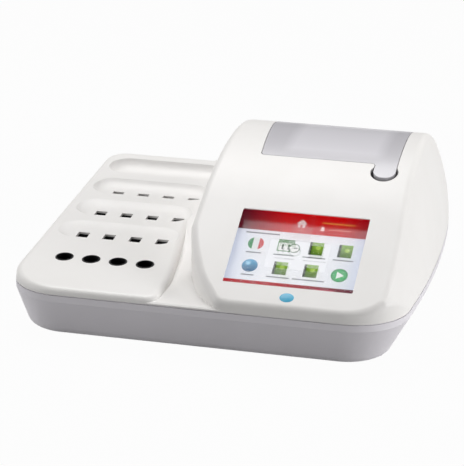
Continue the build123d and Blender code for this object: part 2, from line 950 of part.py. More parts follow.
def well_bar(row):
    """Aluminium bar with the wells of one row, seated on the heated plate."""
    y = along_deck(well_row_y(row))
    bar = on_deck(box_between(
        block_left + bar_inset, block_right - bar_inset, y - bar_half, y + bar_half, block_slab_top, well_top(row)
    ))
    return bar - wells(row, well_side, well_top(row) - well_depth, 0)


def heater_pad():
    y0 = along_deck(well_row_y(0)) - block_end_margin + pad_end_margin
    y1 = along_deck(well_row_y(len(trough_depths) - 1)) + block_end_margin - pad_end_margin
    return on_deck(box_between(
        block_left + pad_margin, block_right - pad_margin, y0, y1, block_slab_bottom - pad_sheet, block_slab_bottom
    ))


def block_screws():
    screws = []
    for x in block_post_x:
        for y in block_post_y:
            turned = screw(block_slab_top - block_slab_bottom + block_screw_reach).moved(Location((0, 0, 0), (180, 0, 0)))
            screws.append(on_deck(turned.moved(Location((x, along_deck(y), block_slab_top)))))
    return all_of(screws)


def reading_block():
    y = along_deck(reading_row_y)
    block = on_deck(box_between(
        block_left, block_right, y - reader_half, y + reader_half, reader_top - reader_height, reader_top
    ))
    block -= reading_rods(cell_bore, reader_top - cell_depth, 0)
    return block - beam_rods(beam_bore, -reader_half - over, reader_half + over)


def beam_rods(diameter, y0, y1):
    rods = []
    for column in range(column_count):
        rod = Cylinder(diameter / 2, y1 - y0).moved(Location((0, 0, 0), (90, 0, 0)))
        rods.append(on_deck(rod.moved(Location((
            column_x(column), along_deck(reading_row_y) + (y0 + y1) / 2, reader_top - beam_drop
        )))))
    return all_of(rods)


def cell_collars():
    tube = reading_rods(collar_outer, reader_top, collar_rise)
    rims = tube.edges().filter_by(GeomType.CIRCLE)
    tube = chamfer(rims.filter_by(lambda e: deck_plane().to_local_coords(e.center()).Z > 0), collar_chamfer)
    return tube - reading_rods(collar_bore, reader_top - over, collar_rise + over)


def reader_board(y0, y1):
    z = reader_top - beam_drop
    return on_deck(box_between(
        block_left + reader_board_inset, block_right - reader_board_inset, y0, y1, z - reader_board_half,
        z + reader_board_half
    ))


def led_board():
    y = along_deck(reading_row_y) + reader_half
    z = reader_top - beam_drop
    lamps = beam_rods(beam_bore - lamp_play, reader_half - lamp_reach, reader_half + seat_gap)
    x0, x1, reach, half = reader_plug
    plug = on_deck(box_between(x0, x1, y + board_sheet - joined, y + board_sheet + reach, z - half, z + half))
    return reader_board(y, y + board_sheet) + lamps + plug


def detector_board():
    y = along_deck(reading_row_y) - reader_half
    z = reader_top - beam_drop
    sensors = beam_rods(beam_bore - lamp_play, -reader_half - seat_gap, -reader_half + sensor_reach)
    half_x, thick, half_z = reader_chip
    chips = all_of([
        on_deck(box_between(
            x - half_x, x + half_x, y - board_sheet - thick, y - board_sheet + joined, z - half_z, z + half_z
        ))
        for x in reader_chips
    ])
    return reader_board(y - board_sheet, y) + sensors + chips


def board_plate(board):
    x0, x1, y0, y1 = board
    plate = box_between(x0, x1, y0, y1, board_height, board_height + board_sheet)
    plate = fillet(plate.edges().filter_by(Axis.Z), board_corner)
    for x, y in board_corners(board):
        plate -= post(
            x, y, board_height - over, board_height + board_sheet + over, screw_shank + 2 * screw_clearance
        )
    return plate


def on_board(x, y, width, depth, height):
    z = board_height + board_sheet
    return box_between(x - width / 2, x + width / 2, y - depth / 2, y + depth / 2, z - joined, z + height)


def can_on_board(x, y, diameter, height):
    z = board_height + board_sheet
    return post(x, y, z - joined, z + height, diameter)


def processor_board():
    board = board_plate(main_board)
    for component in processor_parts:
        board += on_board(*component)
    for index in range(cooler_slots):
        x = cooler_slot_left + index * cooler_slot_pitch
        board -= box_between(x, x + cooler_slot_width, *cooler_slot_ends, cooler_slot_floor, build_high)
    board += can_on_board(*cell_place, cell_diameter, cell_height)
    for x, y in can_places:
        board += can_on_board(x, y, can_diameter, can_height)
    return board


def supply_board():
    board = board_plate(power_board)
    for component in supply_parts:
        board += on_board(*component)
    for x, y in big_can_places:
        board += can_on_board(x, y, big_can_diameter, big_can_height)
    return board


def board_screws():
    seat = board_height + board_sheet
    down = screw(board_sheet + board_screw_reach).moved(Location((0, 0, 0), (180, 0, 0)))
    places = board_corners(main_board) + board_corners(power_board)
    return all_of([down.moved(Location((x, y, seat))) for x, y in places])


def touch_glass():
    top = -glass_setback
    glass = box_between(
        -glass_width / 2, glass_width / 2, -glass_height / 2, glass_height / 2, top - glass_thickness, top
    )
    return on_screen(fillet(glass.edges().filter_by(Axis.Z), glass_corner))


def display_panel():
    top = -glass_setback - glass_thickness
    panel = box_between(-glass_width / 2, glass_width / 2, -glass_height / 2, glass_height / 2, bracket_face(), top)
    return on_screen(chamfer(panel.edges().filter_by(Axis.Z), panel_chamfer))


def display_bracket():
    top = bracket_face()
    half_w, half_h = bracket_width / 2, bracket_height / 2
    plate = box_between(-half_w, half_w, -half_h, half_h, top - bracket_sheet, top)
    plate = fillet(plate.edges().filter_by(Axis.Z), bracket_corner)
    open_x, open_y = bracket_opening
    low = top - bracket_sheet
    plate -= box_between(-open_x, open_x, -open_y, open_y, low - over, top + over)
    for x, y in face_posts():
        plate -= post(x, y, low - over, top + over, screw_shank + 2 * screw_clearance)
    for x in (-rib_x, rib_x):
        plate += box_between(
            x - rib_half, x + rib_half, -rib_reach, rib_reach, low - rib_height, low + bracket_sheet / 2
        )
    return on_screen(plate)


def bracket_screws():
    seat = bracket_face() - bracket_sheet
    return all_of([on_screen(screw(bracket_screw).moved(Location((x, y, seat)))) for x, y in face_posts()])


def printer_lid():
    left, right = lid_ends()
    plate = (under_hood(0) - under_hood(lid_wall)) & lid_prism()
    plate = plate & hinge_box(-half_width, half_width, front * 2, 0, -half_width, half_width)
    nose = hinge_rod(left, right, lid_hinge_depth)
    nose -= hinge_rod(left - over, right + over, lid_hinge_depth - lid_wall)
    nose = nose & hinge_box(left - over, right + over, -nose_lap, lid_hinge_depth * 2, 0, lid_hinge_depth * 2)
    lid = Part() + plate + nose
    inner_left, inner_right = left + cheek_set_in, right - cheek_set_in
    for x0, x1 in ((inner_left, inner_left + lid_cheek), (inner_right - lid_cheek, inner_right)):
        lid += hinge_rod(x0, x1, lid_hinge_depth - cheek_set_down)
    return (lid & lid_prism()) - hinge_rod(left - over, right + over, pin_diameter / 2 + pin_clearance)


def lid_pins():
    left, right = lid_ends()
    inner_left = left + cheek_set_in + lid_cheek
    inner_right = right - cheek_set_in - lid_cheek
    pins = [
        hinge_rod(inner_left - pin_length, inner_left, pin_diameter / 2),
        hinge_rod(inner_right, inner_right + pin_length, pin_diameter / 2),
    ]
    return all_of(pins)


def printer_bay():
    left, right = lid_ends()
    shelf = under_hood(cover_wall) & lid_prism(bay_flange)
    shelf -= lid_prism(lid_gap / 2)
    shelf += under_hood(ledge_setback) & lid_prism(lid_gap / 2)
    shelf -= under_hood(ledge_setback + ledge_thickness)
    shelf = Part() + shelf
    well_outer = box_between(
        bay_left - bay_wall, bay_right + bay_wall, bay_front - bay_wall, bay_back + bay_wall, bay_floor - bay_wall,
        build_high,
    ) & under_hood(ledge_setback + ledge_thickness / 2)
    bay = shelf + well_outer
    y, z = hinge_point()
    ear_reach = pin_length - ear_side_wall
    for x0, x1 in ((left - ear_reach, left - seat_gap), (right + seat_gap, right + ear_reach)):
        ear = box_between(x0, x1, y - ear_half_depth, y + ear_half_depth, z - ear_drop, build_high)
        bay += ear & under_hood(cover_wall)
    hinge_shell = hinge_rod(left - seat_gap, right + seat_gap, hinge_relief + bay_wall)
    reach = hinge_shell_reach
    hinge_shell = hinge_shell & hinge_box(-half_width, half_width, -reach, reach, -reach, over)
    bay += hinge_shell & under_hood(cover_wall)
    cup_x, cup_y, cup_radius = scoop_place()
    cup_floor = crown_z(cup_y) - scoop_depth - bay_wall
    bay += post(cup_x, cup_y, cup_floor, build_high, 2 * (cup_radius + bay_wall)) & under_hood(cover_wall)
    bay -= box_between(bay_left, bay_right, bay_front, bay_back, bay_floor, build_high)
    bay -= hinge_rod(left - seat_gap, right + seat_gap, hinge_relief)
    bay -= scoop()
    bay -= hinge_rod(left - pin_length, right + pin_length, pin_diameter / 2 + pin_seat)
    half = cheek_thickness / 2
    wide = 2 * half
    for side in (-1, 1):
        x = bay_middle() + side * (roll_width / 2 + cheek_offset)
        cheek = box_between(
            x - half, x + half, roll_y - cheek_half_depth, roll_y + cheek_half_depth, bay_floor - cheek_foot,
            roll_z + cheek_top
        )
        notch = rod_x(x - wide, x + wide, roll_y, roll_z, journal_notch)
        notch += box_between(
            x - wide, x + wide, roll_y - journal_notch / 2, roll_y + journal_notch / 2, roll_z, build_high
        )
        bay += cheek - notch
    return bay


def bay_middle():
    return (bay_left + bay_right) / 2


def frame_sides():
    return bay_middle() - frame_span / 2, bay_middle() + frame_span / 2


def gear(radius, teeth, bore):
    disc = Cylinder(radius, gear_width)
    notch = Box(tooth_depth, radius * pi / teeth, gear_width + over).moved(Location((radius, 0, 0)))
    for index in range(teeth):
        disc -= notch.moved(Location((0, 0, 0), (0, 0, 360 * index / teeth)))
    if bore:
        disc -= Cylinder(bore / 2, gear_width + over)
    return disc.moved(Location((0, 0, 0), (0, 90, 0)))


def printer_frame():
    x0, x1 = frame_sides()
    frame_front = bay_front + frame_front_gap
    sides = Part()
    for a, b in ((x0, x0 + frame_sheet), (x1 - frame_sheet, x1)):
        sides += box_between(a, b, frame_front, frame_back, bay_floor, frame_top)
    sides = fillet(sides.edges().filter_by(Axis.X).group_by(Axis.Z)[-1], frame_corner)
    frame = sides + box_between(x0, x1, frame_front, frame_back, bay_floor, bay_floor + frame_sheet)
    frame += box_between(x0, x1, frame_back - frame_sheet, frame_back, bay_floor, frame_rear_top)
    frame += rod_x(x1 - over, gear_x + gear_width + stud_overhang, idler_y, idler_z, idler_stud)
    frame -= rod_x(x0 - over, x1 + over, platen_y, platen_z, platen_shaft + 2 * screw_clearance)
    return frame - rod_x(x1 - frame_sheet - over, x1 + over, idler_y, pinion_z, motor_boss)


def print_head():
    x0, x1 = frame_sides()
    inset, plate_lap, reach, low, high = head_body
    y = platen_y + platen_diameter / 2 + head_gap
    left, right = x0 + frame_sheet, x1 - frame_sheet
    head = box_between(left, right, y, y + head_plate, platen_z - head_low, platen_z + head_high)
    return head + box_between(
        left + inset, right - inset, y + plate_lap, y + reach, platen_z - low, platen_z - high
    )


def wheel_place(y, z):
    return Location((gear_x + gear_width / 2, y, z))


def platen_roller():
    x0 = frame_sides()[0]
    rubber = rod_x(
        bay_middle() - platen_length / 2, bay_middle() + platen_length / 2, platen_y, platen_z, platen_diameter
    )
    shaft = rod_x(x0 - platen_shaft_end, gear_x + gear_width, platen_y, platen_z, platen_shaft)
    return rubber + shaft + gear(platen_gear_radius, platen_teeth, 0).moved(wheel_place(platen_y, platen_z))


def idler_gear():
    bore = idler_stud + 2 * screw_clearance
    return gear(idler_radius, idler_teeth, bore).moved(wheel_place(idler_y, idler_z))


def motor_pinion():
    wheel = gear(pinion_radius, pinion_teeth, 0).moved(wheel_place(idler_y, pinion_z))
    start = gear_x + pinion_shaft_lap - pinion_shaft_length
    return wheel + rod_x(start, gear_x + pinion_shaft_lap, idler_y, pinion_z, pinion_shaft)


def feed_motor():
    x1 = frame_sides()[1] - frame_sheet
    body = rod_x(x1 - motor_length, x1, idler_y, pinion_z, motor_diameter)
    body = fillet(body.edges().filter_by(GeomType.CIRCLE).group_by(Axis.X)[0], motor_round)
    bore_start = gear_x - pinion_shaft_length
    return body - rod_x(bore_start, x1 + over, idler_y, pinion_z, pinion_shaft + 2 * screw_clearance)


def paper_roll():
    middle = bay_middle()
    roll = rod_x(middle - roll_width / 2, middle + roll_width / 2, roll_y, roll_z, roll_diameter)
    return roll - rod_x(0, half_width, roll_y, roll_z, roll_core)


def roll_spindle():
    middle = bay_middle()
    half = roll_width / 2 + roll_side_play
    barrel = rod_x(middle - half, middle + half, roll_y, roll_z, roll_core - 2 * screw_clearance)
    half = journal_length / 2
    return barrel + rod_x(middle - half, middle + half, roll_y, roll_z, journal_diameter)


def socket_floor():
    return board_height + board_sheet


def dc_inlet():
    front_y, back_y = panel_y - socket_depth, panel_y - socket_set_back
    body = box_between(
        inlet_x - inlet_half, inlet_x + inlet_half, front_y, back_y, socket_floor(), inlet_z + inlet_half
    )
    hole = rod_y(inlet_x, inlet_z, panel_y - inlet_hole + over, panel_y + over, inlet_bore)
    return body - hole + rod_y(inlet_x, inlet_z, panel_y - inlet_hole, panel_y - inlet_pin_end, inlet_pin)


def usb_ports():
    z = socket_floor()
    half = usb_width / 2
    tongue_half, tongue_root, tongue_end, tongue_low, tongue_high = usb_tongue
    ports = []
    for x in usb_x:
        shell = box_between(
            x - half, x + half, panel_y - socket_depth, panel_y - socket_set_back, z, z + usb_height
        )
        shell -= box_between(
            x - half + usb_sheet, x + half - usb_sheet, panel_y - usb_hollow, panel_y, z + usb_sheet,
            z + usb_height - usb_sheet
        )
        tongue = box_between(
            x - tongue_half, x + tongue_half, panel_y - tongue_root, panel_y - tongue_end, z + tongue_low,
            z + tongue_high
        )
        ports.append(shell + tongue)
    return all_of(ports)


def switch_box(grow, y0, y1):
    """Box round the switch's middle, larger than its opening by grow on each side."""
    w, h = switch_width / 2 + grow, switch_height / 2 + grow
    return box_between(switch_x - w, switch_x + w, y0, y1, switch_z - h, switch_z + h)


def switch_body():
    bezel = switch_box(bezel_rim, panel_y, panel_y + switch_bezel)
    bezel = chamfer(bezel.edges().group_by(Axis.Y)[-1], bezel_chamfer)
    body = switch_box(-switch_play, panel_y - switch_depth, panel_y + joined)
    hollow = switch_box(-switch_wall, panel_y - switch_hollow, panel_y + switch_bezel + over)
    blades = Part()
    for low, high in blade_ends:
        blades += box_between(
            switch_x + blade_left, switch_x + blade_left + blade_sheet, panel_y - blade_reach,
            panel_y - switch_depth + joined, switch_z + low, switch_z + high
        )
    return bezel + body - hollow + blades


def switch_rocker():
    """Rocker, drawn tipped to its off side; its pivot lies along X."""
    w, h = switch_width / 2 - rocker_side_gap, switch_height / 2 - rocker_end_gap
    root = h - rocker_taper
    edges = [
        Line((0, rocker_root, -root), (0, rocker_crest, -h)),
        ThreePointArc((0, rocker_crest, -h), (0, rocker_dip, 0), (0, rocker_crest, h)),
        Line((0, rocker_crest, h), (0, rocker_root, root)),
        ThreePointArc((0, rocker_root, root), (0, rocker_belly, 0), (0, rocker_root, -root)),
    ]
    rocker = across(section(edges), -w, w).moved(Location((0, 0, 0), (rocker_angle, 0, 0)))
    return rocker.moved(Location((switch_x, panel_y - rocker_set_back, switch_z)))


parts = {
    "lower_shell": lower_shell,
    "upper_cover": upper_cover,
    "rubber_feet": rubber_feet,
    "shell_screws": shell_screws,
    "heater_plate": heater_plate,
    "well_bar_1": lambda: well_bar(0),
    "well_bar_2": lambda: well_bar(1),
    "well_bar_3": lambda: well_bar(2),
    "well_bar_4": lambda: well_bar(3),
    "heater_pad": heater_pad,
    "block_screws": block_screws,
    "reading_block": reading_block,
    "cell_collars": cell_collars,
    "led_board": led_board,
    "detector_board": detector_board,
    "main_board": processor_board,
    "power_board": supply_board,
    "board_screws": board_screws,
    "touch_glass": touch_glass,
    "display_panel": display_panel,
    "display_bracket": display_bracket,
    "bracket_screws": bracket_screws,
    "printer_bay": printer_bay,
    "printer_frame": printer_frame,
    "print_head": print_head,
    "platen_roller": platen_roller,
    "idler_gear": idler_gear,
    "motor_pinion": motor_pinion,
    "feed_motor": feed_motor,
    "paper_roll": paper_roll,
    "roll_spindle": roll_spindle,
    "printer_lid": printer_lid,
    "lid_pins": lid_pins,
    "dc_inlet": dc_inlet,
    "usb_ports": usb_ports,
    "switch_body": switch_body,
    "switch_rocker": switch_rocker,
}

for name, make in parts.items():
    shape = make()
    solids = shape.solids()
    print(name, "solids", len(solids), "volume", round(sum(s.volume for s in solids)))
    export_step(shape, "parts/" + name + ".step")
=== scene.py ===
# %% [markdown]
# # A food analyzer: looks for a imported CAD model
# The object is a bench analyzer: a low deck with four troughs of sample wells on the left, and a
# domed hood with a touch screen and a printer lid on the right. Its shape is already there in the
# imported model. This lesson adds what the model lacks: finishes, the picture on the screen, light
# and a camera.

from math import cos, pi, radians, sin

import bpy
from mathutils import Matrix, Vector


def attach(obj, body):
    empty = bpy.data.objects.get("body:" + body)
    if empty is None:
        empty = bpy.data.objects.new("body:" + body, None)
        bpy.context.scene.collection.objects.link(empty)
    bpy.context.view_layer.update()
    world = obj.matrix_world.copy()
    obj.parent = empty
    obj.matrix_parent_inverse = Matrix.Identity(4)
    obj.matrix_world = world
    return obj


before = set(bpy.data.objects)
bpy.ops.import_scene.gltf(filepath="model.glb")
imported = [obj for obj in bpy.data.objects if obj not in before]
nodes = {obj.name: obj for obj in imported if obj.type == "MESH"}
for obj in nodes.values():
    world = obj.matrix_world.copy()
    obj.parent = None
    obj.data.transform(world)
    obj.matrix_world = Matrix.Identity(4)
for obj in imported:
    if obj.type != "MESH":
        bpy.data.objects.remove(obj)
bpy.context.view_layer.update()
print("loaded", len(nodes), "nodes")

# %% [markdown]
# ## Writing shader maths as ordinary sums
# A material's pattern is a sum of many small steps, and every step is a node. Wired by hand, even a
# rectangle takes a dozen lines. Here a small class holds one socket and gives it plus, minus, times
# and divide, so that a pattern reads as the formula it is. Numbers alone are worked out in Python.

# %% One value of a shader
class Value:
    def __init__(self, finish, socket):
        self.finish = finish
        self.socket = socket

    def sum(self, operation, *others):
        sockets = {i: o for i, o in enumerate((self,) + others)}
        return self.finish.node("ShaderNodeMath", {"operation": operation}, sockets)

    def __add__(self, other):
        return self.sum("ADD", other)

    def __sub__(self, other):
        return self.sum("SUBTRACT", other)

    def __mul__(self, other):
        return self.sum("MULTIPLY", other)

    def __truediv__(self, other):
        return self.sum("DIVIDE", other)

    def __rsub__(self, other):
        return self.finish.node("ShaderNodeMath", {"operation": "SUBTRACT"}, {0: other, 1: self})

    def __rtruediv__(self, other):
        return self.finish.node("ShaderNodeMath", {"operation": "DIVIDE"}, {0: other, 1: self})

    __radd__ = __add__
    __rmul__ = __mul__

    def __abs__(self):
        return self.sum("ABSOLUTE")

    def __pow__(self, power):
        return self.sum("POWER", power)

    def least(self, other):
        return self.sum("MINIMUM", other)

    def most(self, other):
        return self.sum("MAXIMUM", other)

    def clamped(self):
        return self.most(0.0).least(1.0)


# %% [markdown]
# ## A finish is one material and the nodes in it
# Every other node comes from one method: its type, its settings (set first, because they change
# which sockets there are), then what goes into its sockets. Positions are read in millimetres from
# the object's own coordinates, which are the CAD model's, so a pattern can be placed by the drawing.

# %% The finish class
class Finish:
    def __init__(self, name, **fixed):
        self.material = bpy.data.materials.new(name)
        self.material.use_nodes = True
        self.tree = self.material.node_tree
        self.shader = self.tree.nodes["Principled BSDF"]
        self.output = self.tree.nodes["Material Output"]
        for socket, value in fixed.items():
            self.shader.inputs[socket.replace("_", " ")].default_value = value

    def plug(self, socket, value):
        if isinstance(value, Value):
            self.tree.links.new(value.socket, socket)
        else:
            socket.default_value = value

    def node(self, kind, settings=None, sockets=None, out=0):
        made = self.tree.nodes.new(kind)
        for name, value in (settings or {}).items():
            setattr(made, name, value)
        for name, value in (sockets or {}).items():
            self.plug(made.inputs[name], value)
        return Value(self, made.outputs[out])

    def set(self, **sockets):
        for name, value in sockets.items():
            self.plug(self.shader.inputs[name.replace("_", " ")], value)
        return self

    def place(self):
        """The point on the object, in millimetres, as three values and as one vector."""
        point = self.node("ShaderNodeTexCoord", out="Object")
        scaled = self.node("ShaderNodeVectorMath", {"operation": "SCALE"}, {0: point, "Scale": 1000.0})
        split = self.tree.nodes.new("ShaderNodeSeparateXYZ")
        self.plug(split.inputs[0], scaled)
        return [Value(self, split.outputs[i]) for i in range(3)], scaled

    def noise(self, point, size, detail=2.0, rough=0.5):
        """Cloudy noise whose lumps are about size millimetres across, from 0 to 1."""
        return self.node(
            "ShaderNodeTexNoise", {"noise_dimensions": "3D"},
            {"Vector": point, "Scale": 1.0 / size, "Detail": detail, "Roughness": rough},
        )

    def cells(self, point, size):
        return self.node("ShaderNodeTexVoronoi", None, {"Vector": point, "Scale": 1.0 / size})

    def mix(self, mask, first, second):
        """The first colour where the mask is 0, the second where it is 1."""
        return self.node(
            "ShaderNodeMix", {"data_type": "RGBA"}, {0: mask, 6: first, 7: second}, out=2
        )

    def bump(self, height, depth, strength=1.0):
        """A fine relief of depth metres."""
        return self.node(
            "ShaderNodeBump", None, {"Height": height, "Distance": depth, "Strength": strength}
        )


finishes = {}


def finish(name, **fixed):
    finishes[name] = Finish(name, **fixed)
    return finishes[name]


def colour(red, green, blue, alpha=1.0):
    """A colour as a picture editor writes it, 0 to 255, turned into the linear values of Blender."""
    def linear(value):
        part = value / 255
        return part / 12.92 if part <= 0.04045 else ((part + 0.055) / 1.055) ** 2.4

    return (linear(red), linear(green), linear(blue), alpha)


def dress(made, *names):
    """Gives a finish to CAD nodes."""
    for name in names:
        slots = nodes[name].data.materials
        slots.clear()
        slots.append(made.material)
    print("dressed", ", ".join(names))


# %% [markdown]
# ## The housing plastic
# The cover is a large moulding in off-white plastic. Its tool was spark-eroded, which leaves a very
# fine, even grain that breaks up reflections. A plain colour would look like paint, so the roughness
# wanders a little over centimetres and the grain is a bump a few hundredths of a millimetre deep.

# %% Cover plastic
def moulded(name, base, shade, grain=0.55, depth=0.000012, rough=0.46, coat=0.0):
    made = finish(name, Coat_Weight=coat, Coat_Roughness=0.25)
    xyz, point = made.place()
    cloud = made.noise(point, 38.0, detail=3.0)
    speck = made.noise(point, grain, detail=1.0)
    made.set(
        Base_Color=made.mix((cloud - 0.35) * 1.6, base, shade),
        Roughness=rough + (cloud - 0.5) * 0.10 + (speck - 0.5) * 0.08,
        Normal=made.bump(speck, depth),
    )
    return made


cover = moulded("cover_plastic", colour(238, 236, 234), colour(234, 232, 229))
dress(cover, "upper_cover")

# %% [markdown]
# The lower half is a separate moulding of the same plastic. It comes out of its tool a shade cooler
# and greyer, which is how the parting line shows even where the gap is closed.

# %% Shell plastic
shell = moulded("shell_plastic", colour(226, 223, 228), colour(220, 217, 222), rough=0.5)
dress(shell, "lower_shell")

# %% [markdown]
# ## The printer lid
# The lid is tinted, slightly cloudy plastic. Light that comes through it makes the middle, over the
# open paper bay, paler than the rim, which lies on the ledge. Real translucency would need a bright
# bay below it. Here the same look comes from the colour: a soft rectangle, given in millimetres.

# %% Soft shapes for masks
def band(value, low, high, soft):
    """1 between low and high, 0 outside, with an edge of the given softness."""
    middle, half = (low + high) / 2, (high - low) / 2
    return ((half - abs(value - middle)) / soft + 0.5).clamped()


def box_mask(u, v, low_u, high_u, low_v, high_v, soft=0.25):
    return band(u, low_u, high_u, soft) * band(v, low_v, high_v, soft)


def disc_mask(u, v, centre, radius, soft=0.25):
    away = ((u - centre[0]) ** 2.0 + (v - centre[1]) ** 2.0) ** 0.5
    return ((radius - away) / soft + 0.5).clamped()


# %% Lid plastic
lid = finish("lid_plastic", Coat_Weight=0.25, Coat_Roughness=0.22)
(x, y, z), point = lid.place()
window = box_mask(x, y, 34.0, 111.0, 6.0, 78.0, soft=10.0)
cloud = lid.noise(point, 30.0)
tint = lid.mix((cloud - 0.4) * 1.2, colour(196, 194, 199), colour(190, 188, 193))
lid.set(
    Base_Color=lid.mix(window, tint, colour(214, 212, 217)),
    Roughness=0.34 + (cloud - 0.5) * 0.06,
    Normal=lid.bump(lid.noise(point, 0.8), 0.000008),
)
dress(lid, "printer_lid")

# %% [markdown]
# ## Collars, cells and wells
# The four reading cells have smooth black collars. Below them sits a matt black block that keeps
# stray light out. The wells are holes in a dark anodized heater block, milled, so its metal shows faint
# parallel tool marks.

# %% Collars, reading block and heater block
collar = moulded("collar_plastic", colour(14, 14, 15), colour(20, 20, 21), rough=0.34, depth=0.000004)
dress(collar, "cell_collars")

black = moulded("black_plastic", colour(20, 20, 22), colour(27, 27, 29), rough=0.55, depth=0.00002)
dress(black, "reading_block", "print_head", "dc_inlet", "switch_body", "roll_spindle")

block = finish("block_aluminium", Metallic=0.7)
(x, y, z), point = block.place()
marks = block.node(
    "ShaderNodeTexWave", {"wave_type": "BANDS", "bands_direction": "X"},
    {"Vector": point, "Scale": 0.55, "Distortion": 0.6, "Detail": 2.0},
)
block.set(
    Base_Color=block.mix(marks, colour(58, 57, 59), colour(70, 69, 71)),
    Roughness=0.42 + marks * 0.12,
    Normal=block.bump(marks, 0.00001),
)
dress(block, "heater_plate", "well_bar_1", "well_bar_2", "well_bar_3", "well_bar_4")

# %% [markdown]
# ## The screen
# The screen is three things: a cover glass, the display behind it, and a picture made of light. The
# glass is clear and smooth, so it gets full transmission. The picture goes on the display as
# emission, because a display gives off its colours. It is drawn in the display's own flat
# coordinates: u to the right and v up the slope, in millimetres from the middle of the window.

# %% Glass
glass = finish("screen_glass", Transmission_Weight=1.0, IOR=1.03)
(x, y, z), point = glass.place()
glass.set(Base_Color=(1.0, 1.0, 1.0, 1.0), Roughness=glass.noise(point, 25.0) * 0.004)
dress(glass, "touch_glass")

# %% Flat coordinates on the display
screen_slope = radians(31.0)
screen_middle = (66.5, -95.5, 76.14)
window_half = (51.0, 37.5)

display = finish("display_picture", Roughness=0.3, Specular_IOR_Level=0.02)
(x, y, z), point = display.place()
u = x - screen_middle[0]
v = (y - screen_middle[1]) * cos(screen_slope) + (z - screen_middle[2]) * sin(screen_slope)

# %% [markdown]
# A menu page: a red bar with dark ends at the top, a thin one at the foot, and two rows of round
# and square symbols on white. Captions are short grey bars, since this copy carries no wording.

# %% Page, bars and captions
header_foot = 19.0
footer_top = -32.0
white = colour(250, 251, 255)
picture = display.mix((abs(u) / 51.0) ** 4.0 * 0.55, white, colour(176, 190, 224))
dark_ends = (abs(u - 8.0) - 22.0) / 34.0
header_red = display.mix(dark_ends.clamped(), colour(206, 10, 14), colour(92, 14, 30))
footer_red = display.mix(((u + 10.0) / 60.0).clamped(), colour(176, 10, 24), colour(92, 10, 34))
picture = display.mix(band(v, header_foot, 60.0, 0.3), picture, header_red)
picture = display.mix(band(v, -60.0, footer_top, 0.3), picture, footer_red)


def paint(mask, shade):
    global picture
    picture = display.mix(mask, picture, shade)


ink = colour(96, 98, 104)
paint(box_mask(u, v, -44.0, -17.0, 15.2, 16.3, 0.5), ink)
columns = (-34.0, -10.0, 14.0, 37.0)
rows = (5.0, -17.5)
caption_half = ((6.0, 8.0, 9.0, 8.0), (5.0, 9.0, 12.5, 0.0))
for row, v_row in enumerate(rows):
    for column, u_column in enumerate(columns):
        half = caption_half[row][column]
        if half:
            paint(box_mask(u, v, u_column - half, u_column + half, v_row - 9.7, v_row - 8.7, 0.6), ink)
print("page drawn")

# %% Symbols
green, dark_green = colour(134, 178, 54), colour(72, 104, 32)


def tricolour(centre):
    disc = disc_mask(u, v, centre, 6.3)
    paint(disc, colour(238, 240, 240))
    paint(disc * band(u, centre[0] - 9.0, centre[0] - 2.4, 0.4), colour(38, 138, 70))
    paint(disc * band(u, centre[0] + 2.4, centre[0] + 9.0, 0.4), colour(206, 40, 44))


def calendar(centre):
    left, low = centre[0] - 6.5, centre[1] - 5.5
    paint(box_mask(u, v, left, left + 13.0, low, low + 12.0), colour(70, 130, 60))
    paint(box_mask(u, v, left + 0.8, left + 12.2, low + 0.8, low + 8.6), colour(250, 250, 250))
    for offset in (3.4, 8.2):
        paint(box_mask(u, v, left + offset, left + offset + 1.4, low + 2.2, low + 7.0), colour(40, 60, 50))
    clock = (centre[0] + 7.0, centre[1] - 1.5)
    paint(disc_mask(u, v, clock, 4.6), colour(120, 140, 124))
    paint(disc_mask(u, v, clock, 3.7), colour(250, 250, 250))
    paint(box_mask(u, v, clock[0] - 0.4, clock[0] + 2.2, clock[1] - 0.4, clock[1] + 0.4), colour(60, 70, 64))


def notebook(centre):
    left, low = centre[0] - 5.4, centre[1] - 6.3
    page = box_mask(u, v, left, left + 11.0, low, low + 12.6)
    paint(page, display.mix(((v - low) / 12.6).clamped(), dark_green, green))
    paint(box_mask(u, v, left, left + 1.9, low, low + 12.6), colour(40, 46, 36))
    paint(disc_mask(u, v, (centre[0] + 1.6, centre[1] + 1.0), 2.0, 0.6), colour(176, 206, 96))


def globe(centre):
    shade = ((v - centre[1]) / 12.6 + 0.5).clamped()
    paint(disc_mask(u, v, centre, 6.3), display.mix(shade, colour(16, 66, 110), colour(72, 168, 214)))
    paint(disc_mask(u, v, (centre[0] - 1.6, centre[1] + 2.2), 1.8, 1.6), colour(156, 212, 238))


def go_arrow(centre):
    paint(disc_mask(u, v, centre, 6.6), colour(24, 148, 72))
    paint(disc_mask(u, v, centre, 5.2), colour(44, 176, 92))
    across, up = u - (centre[0] - 2.2), v - centre[1]
    inside = band(across, 0.0, 20.0, 0.3) * ((3.6 - across * 0.62 - abs(up)) / 0.3 + 0.5).clamped()
    paint(inside, colour(248, 252, 248))


def house(centre):
    across, up = abs(u - centre[0]), v - centre[1]
    roof = ((4.4 - across - up) / 0.3 + 0.5).clamped() * band(up, -0.2, 9.0, 0.3)
    walls = box_mask(u, v, centre[0] - 2.9, centre[0] + 2.9, centre[1] - 4.0, centre[1])
    door = box_mask(u, v, centre[0] - 0.8, centre[0] + 0.8, centre[1] - 4.0, centre[1] - 1.2)
    paint((roof.most(walls) - door).clamped(), colour(246, 226, 226))


